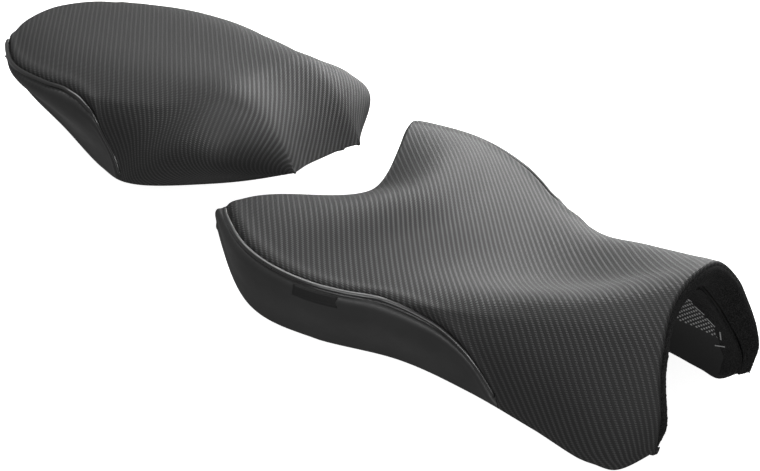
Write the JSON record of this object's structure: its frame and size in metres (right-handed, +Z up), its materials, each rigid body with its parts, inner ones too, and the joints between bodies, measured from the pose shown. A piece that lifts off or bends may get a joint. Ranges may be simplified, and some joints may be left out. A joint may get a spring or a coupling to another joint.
{
  "type": "motorcycle seat",
  "caption": "Two-piece motorcycle seat: arched-nose rider seat and hinged wedge passenger seat, carbon-look vinyl over foam and moulded pans, with piping and brackets.",
  "frame": {"origin": "centre of the set's footprint, on the surface it stands on", "axes": "+Z up; -Y forward, towards the tank end of the rider seat; X across the bike, symmetric about X = 0"},
  "size_m": [0.3876, 0.8791, 0.163],
  "materials": {
    "carbon_look_vinyl": "embossed twill, satin",
    "smooth_vinyl": "fine grain, satin",
    "welt_piping": "gloss",
    "seat_foam": "matt",
    "moulded_plastic": "fine mesh texture",
    "felt_trim": "fuzzy felt",
    "woven_label": "woven",
    "bumper_rubber": "matt",
    "bracket_steel": "zinc plated",
    "zinc_fixings": "bright"
  },
  "bodies": {
    "rider_seat": {"rider_base_pan": "moulded_plastic", "rider_pan_ribs": "moulded_plastic", "rider_foam": "seat_foam", "rider_top_cover": "carbon_look_vinyl", "rider_side_cover_left": "smooth_vinyl", "rider_side_cover_right": "smooth_vinyl", "rider_tail_panel": "smooth_vinyl", "rider_piping_left": "welt_piping", "rider_piping_right": "welt_piping", "rider_nose_trim": "felt_trim", "rider_trim_lining": "felt_trim", "rider_staples": "zinc_fixings", "rider_front_tongue": "bracket_steel", "rider_tongue_rivets": "zinc_fixings", "rider_bracket_left": "bracket_steel", "rider_bracket_right": "bracket_steel", "rider_bracket_rivets_left": "zinc_fixings", "rider_bracket_rivets_right": "zinc_fixings", "rider_bumper_front_left": "bumper_rubber", "rider_bumper_front_right": "bumper_rubber", "rider_bumper_rear_left": "bumper_rubber", "rider_bumper_rear_right": "bumper_rubber", "rider_label_tab": "woven_label"},
    "passenger_seat": {"passenger_base_pan": "moulded_plastic", "passenger_pan_ribs": "moulded_plastic", "passenger_foam": "seat_foam", "passenger_top_cover": "carbon_look_vinyl", "passenger_side_cover_left": "smooth_vinyl", "passenger_side_cover_right": "smooth_vinyl", "passenger_tail_panel": "smooth_vinyl", "passenger_piping_left": "welt_piping", "passenger_piping_right": "welt_piping", "passenger_tongue_left": "bracket_steel", "passenger_tongue_right": "bracket_steel", "passenger_tongue_rivets": "zinc_fixings", "passenger_striker": "bracket_steel", "passenger_striker_plate": "bracket_steel", "passenger_striker_screws": "zinc_fixings", "passenger_bumper_left": "bumper_rubber", "passenger_bumper_right": "bumper_rubber", "passenger_bumper_posts": "moulded_plastic", "passenger_staples": "zinc_fixings"}
  },
  "joints": [
    {"name": "passenger_seat_tilt", "type": "hinge", "parent": "rider_seat", "child": "passenger_seat", "pos_m": [0, 0.053, 0.0745], "axis": [1, 0, 0], "range_deg": [0, 35]}
  ]
}
